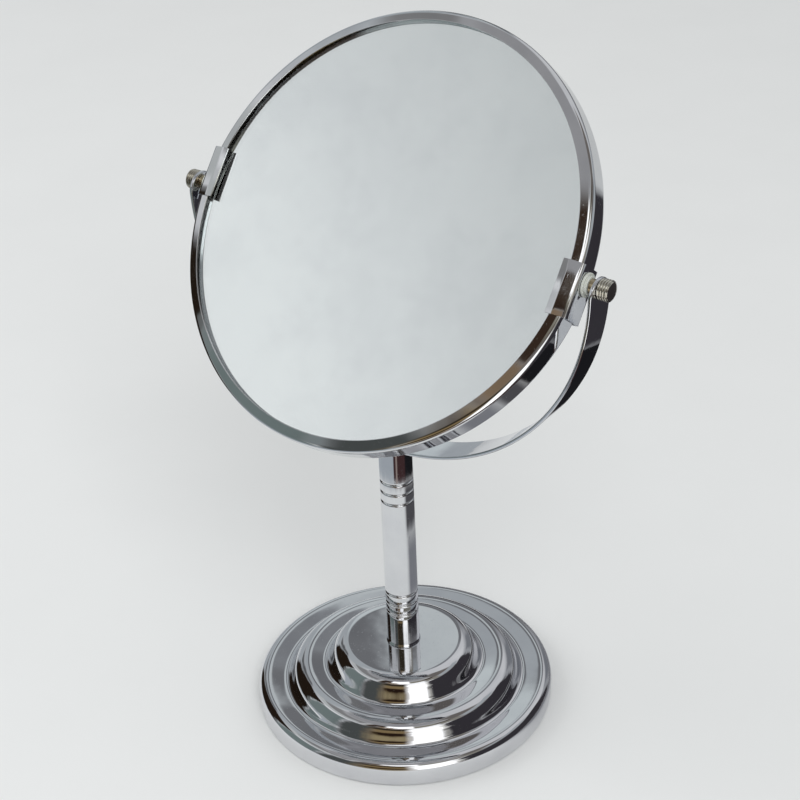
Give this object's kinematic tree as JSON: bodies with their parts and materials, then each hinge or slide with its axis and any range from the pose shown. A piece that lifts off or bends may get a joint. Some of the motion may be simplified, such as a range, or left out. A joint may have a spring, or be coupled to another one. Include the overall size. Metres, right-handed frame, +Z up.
{
  "type": "pedestal shaving mirror",
  "caption": "Double-sided round shaving mirror that tilts in a strap yoke on a tube stem and a stepped, weighted round base.",
  "frame": {"origin": "on the table, under the middle of the stem, at the foot of the base pad", "axes": "+Z up along the stem, X along the tilt axis of the head, and the magnifying side looks to -Y and up at rest"},
  "size_m": [0.2022, 0.131, 0.297],
  "materials": {
    "chrome": "bright chrome plating on pressed and rolled steel",
    "cast_weight": "rough cast, unpainted",
    "foam": "matt black closed-cell foam sheet",
    "zinc_steel": "zinc-plated turned steel",
    "mirror_glass": "polished glass, silvered on the back",
    "card": "plain grey-brown card",
    "brass": "bright turned brass",
    "nylon": "milky natural nylon"
  },
  "bodies": {
    "stand": {"base_shell": "chrome", "base_weight": "cast_weight", "base_pad": "foam", "base_bolt": "zinc_steel", "base_washer": "zinc_steel", "stem_tube": "chrome", "stem_foot_plug": "zinc_steel", "stem_top_plug": "zinc_steel", "yoke_strap": "chrome", "yoke_washer": "chrome", "yoke_screw": "chrome"},
    "mirror_head": {"rim_band": "chrome", "magnifying_mirror": "mirror_glass", "plain_mirror": "mirror_glass", "core_ring": "card", "left_clip": "chrome", "left_pivot_screw": "brass", "left_bush": "nylon", "left_spacer": "brass", "right_clip": "chrome", "right_pivot_screw": "brass", "right_bush": "nylon", "right_spacer": "brass"},
    "left_knob": {"left_knob": "chrome"},
    "right_knob": {"right_knob": "chrome"}
  },
  "joints": [
    {"name": "head_tilt", "type": "hinge", "parent": "stand", "child": "mirror_head", "pos_m": [0, 0, 0.225], "axis": [1, 0, 0], "continuous": true},
    {"name": "left_knob_turn", "type": "hinge", "parent": "mirror_head", "child": "left_knob", "pos_m": [-0.098, 0, 0.225], "axis": [-1, 0, 0], "range_deg": [0, 360]},
    {"name": "right_knob_turn", "type": "hinge", "parent": "mirror_head", "child": "right_knob", "pos_m": [0.098, 0, 0.225], "axis": [1, 0, 0], "range_deg": [0, 360]}
  ]
}
